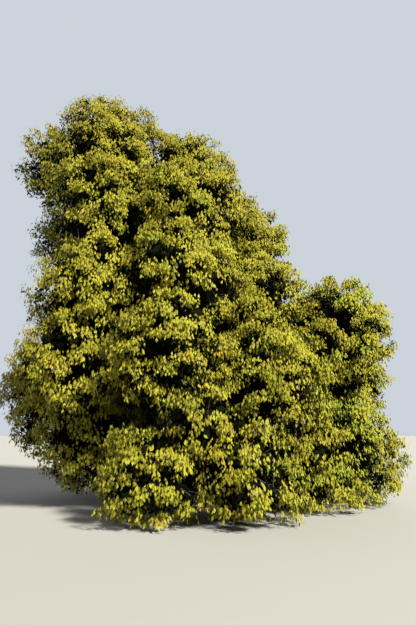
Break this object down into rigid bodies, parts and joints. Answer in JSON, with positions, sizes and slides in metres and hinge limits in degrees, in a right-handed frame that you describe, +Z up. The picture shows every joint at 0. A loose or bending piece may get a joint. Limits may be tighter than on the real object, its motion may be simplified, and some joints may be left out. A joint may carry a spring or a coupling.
{
  "type": "holm oak tree",
  "caption": "Broad evergreen oak in spring flower, crown of drooping foliage masses down to the ground, leaning to one side, on a short trunk that forks into stems.",
  "frame": {"origin": "middle of the flat cut under the trunk, at ground level", "axes": "+Z up along the tree's height; -Y towards the side that the reference view shows; +X to that view's right, where the low shoulder of the crown is"},
  "size_m": [10.3526, 9.2954, 11.0349],
  "materials": {
    "bark": "dark grey-brown bark, finely cracked into small plates, dull",
    "foliage": "yellow-olive catkins and new shoots over dark grey-green leathery leaves, matt"
  },
  "bodies": {
    "root": {"trunk": "bark", "left_stem": "bark", "middle_stem": "bark", "right_stem": "bark", "bough_apron_front": "bark", "bough_foot_back": "bark", "bough_foot_front": "bark", "bough_low_back_left": "bark", "bough_low_back_right": "bark", "bough_low_front": "bark", "bough_low_front_left": "bark", "bough_low_front_right": "bark", "bough_low_left": "bark", "bough_middle_back_left": "bark", "bough_middle_front_left": "bark", "bough_middle_front_right": "bark", "bough_shoulder_back": "bark", "bough_skirt_back_left": "bark", "bough_skirt_back_right": "bark", "bough_skirt_front": "bark", "bough_skirt_front_left": "bark", "bough_skirt_front_right": "bark", "bough_upper_left": "bark", "foliage_apron_front": "foliage", "foliage_foot_back": "foliage", "foliage_foot_front": "foliage", "foliage_high_back_left": "foliage", "foliage_high_back_right": "foliage", "foliage_high_front_left": "foliage", "foliage_high_front_right": "foliage", "foliage_high_left": "foliage", "foliage_high_right": "foliage", "foliage_low_back_left": "foliage", "foliage_low_back_right": "foliage", "foliage_low_front": "foliage", "foliage_low_front_left": "foliage", "foliage_low_front_right": "foliage", "foliage_low_left": "foliage", "foliage_middle_back_left": "foliage", "foliage_middle_back_right": "foliage", "foliage_middle_front_left": "foliage", "foliage_middle_front_right": "foliage", "foliage_middle_left": "foliage", "foliage_middle_right": "foliage", "foliage_shoulder_back": "foliage", "foliage_shoulder_front": "foliage", "foliage_shoulder_right": "foliage", "foliage_skirt_back_left": "foliage", "foliage_skirt_back_right": "foliage", "foliage_skirt_front": "foliage", "foliage_skirt_front_left": "foliage", "foliage_skirt_front_right": "foliage", "foliage_skirt_left": "foliage", "foliage_skirt_left_back": "foliage", "foliage_top_dome": "foliage", "foliage_upper_back": "foliage", "foliage_upper_front": "foliage", "foliage_upper_left": "foliage", "foliage_upper_right": "foliage"}
  },
  "joints": []
}
